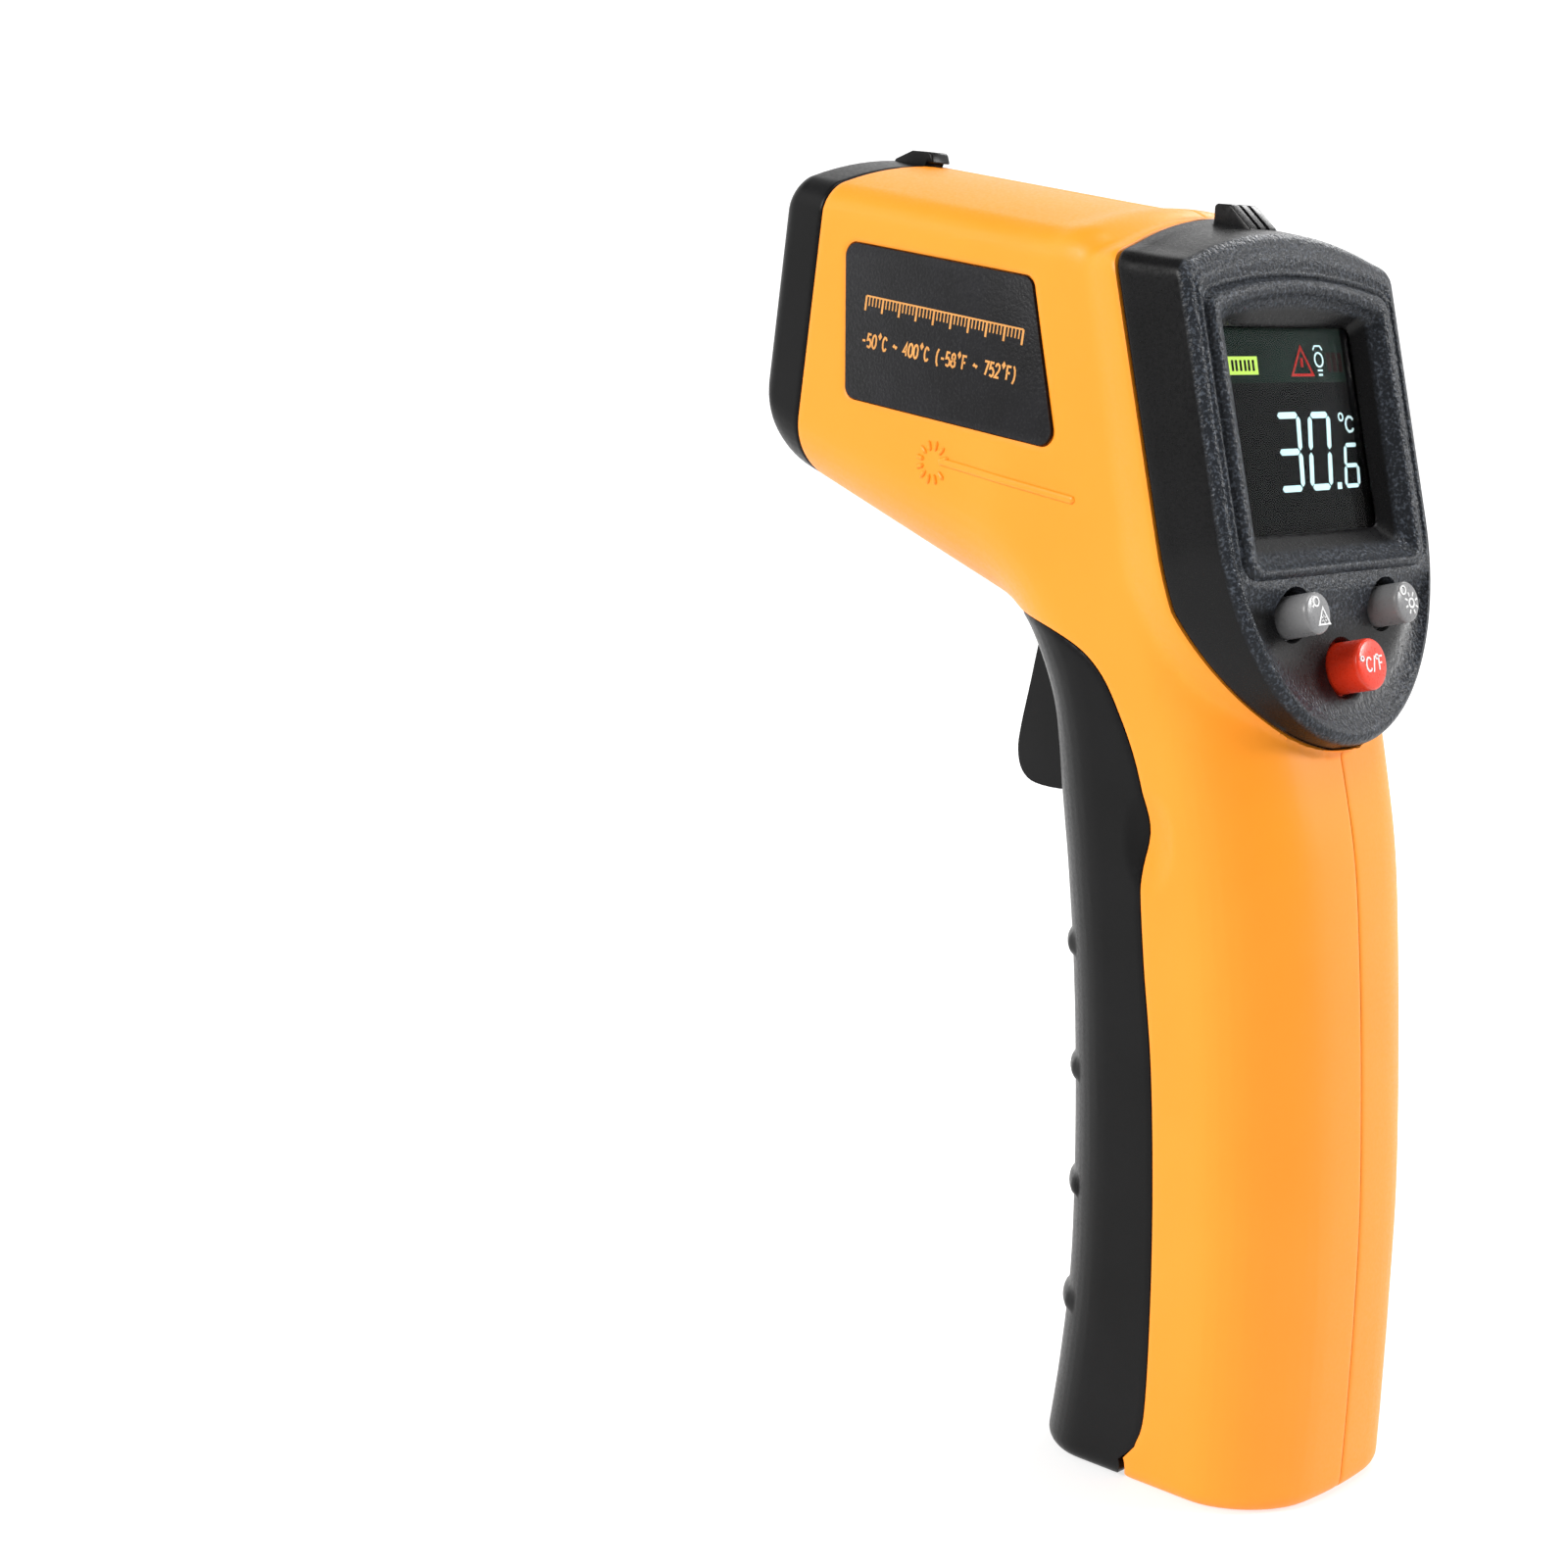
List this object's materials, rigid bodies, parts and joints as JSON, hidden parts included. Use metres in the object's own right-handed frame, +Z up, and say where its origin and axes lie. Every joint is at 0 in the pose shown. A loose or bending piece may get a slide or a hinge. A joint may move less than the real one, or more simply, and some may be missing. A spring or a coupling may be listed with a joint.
{
  "type": "infrared thermometer",
  "caption": "Pistol-grip infrared thermometer with a tilted display, press buttons, a finger trigger and a battery door in the front of the grip.",
  "frame": {"origin": "centre of the outline along X and Y, on the flat base", "axes": "-X towards the nose, +X towards the user and the display, +Z up the grip"},
  "size_m": [0.078, 0.0408, 0.1532],
  "materials": {
    "yellow_case": "satin",
    "black_trim": "satin",
    "bezel": "coarse moulded texture",
    "grey_button": "satin",
    "red_button": "satin",
    "label_film": "fine grain film",
    "clear_window": "clear",
    "infrared_lens": "translucent white",
    "display": "glossy",
    "white_plastic": "satin",
    "circuit_board": "solder mask",
    "chip": "matte",
    "steel": "plated",
    "brass": "turned",
    "cell_wrap": "printed sleeve",
    "wire": "insulated"
  },
  "bodies": {
    "case": {"backlight_switch": "chip", "battery_1": "cell_wrap", "battery_2": "cell_wrap", "battery_lead_black": "wire", "battery_lead_red": "wire", "battery_spring_1": "steel", "battery_spring_2": "steel", "battery_tray": "black_trim", "buzzer": "chip", "case_screw_1": "steel", "case_screw_2": "steel", "case_screw_3": "steel", "case_screw_4": "steel", "contact_bridge": "steel", "contact_plate_1": "steel", "contact_plate_2": "steel", "door_hinge_pin": "steel", "ir_lens": "infrared_lens", "ir_sensor": "steel", "laser_module": "brass", "laser_switch": "chip", "laser_window": "clear_window", "lcd_holder": "white_plastic", "lcd_module": "display", "lcd_window": "clear_window", "left_body_shell": "yellow_case", "lens_ring": "black_trim", "main_pcb": "circuit_board", "nose_cap": "black_trim", "pcb_screw_1": "steel", "pcb_screw_2": "steel", "pcb_screw_3": "steel", "pcb_screw_4": "steel", "processor_chip": "chip", "rear_bezel": "bezel", "right_body_shell": "yellow_case", "sensor_board": "circuit_board", "sensor_cable": "wire", "sensor_connector": "white_plastic", "sensor_tube": "black_trim", "side_label_left": "label_film", "side_label_right": "label_film", "trigger_board": "circuit_board", "trigger_pin": "steel", "trigger_spring": "steel", "trigger_switch": "chip", "unit_switch": "chip"},
    "battery_door": {"battery_door": "black_trim"},
    "trigger": {"trigger": "black_trim"},
    "laser_button": {"laser_button": "grey_button"},
    "backlight_button": {"backlight_button": "grey_button"},
    "unit_button": {"unit_button": "red_button"}
  },
  "joints": [
    {"name": "door_hinge", "type": "hinge", "parent": "case", "child": "battery_door", "pos_m": [0.01622, 0, 0.0018], "axis": [0, -1, 0], "range_deg": [0, 75]},
    {"name": "trigger_pivot", "type": "hinge", "parent": "case", "child": "trigger", "pos_m": [0.00552, 0, 0.103], "axis": [0, -1, 0], "range_deg": [0, 6], "stiffness_Nm_per_rad": 0.2, "springref_deg": -2.86, "deforming": ["trigger_spring"]},
    {"name": "laser_button_press", "type": "slide", "parent": "case", "child": "laser_button", "axis": [-0.977, 0, -0.213], "range_m": [0, 0.0007], "stiffness_N_per_m": 400, "springref_m": -0.0005},
    {"name": "backlight_button_press", "type": "slide", "parent": "case", "child": "backlight_button", "axis": [-0.977, 0, -0.213], "range_m": [0, 0.0007], "stiffness_N_per_m": 400, "springref_m": -0.0005},
    {"name": "unit_button_press", "type": "slide", "parent": "case", "child": "unit_button", "axis": [-0.977, 0, -0.213], "range_m": [0, 0.0007], "stiffness_N_per_m": 400, "springref_m": -0.0005}
  ]
}
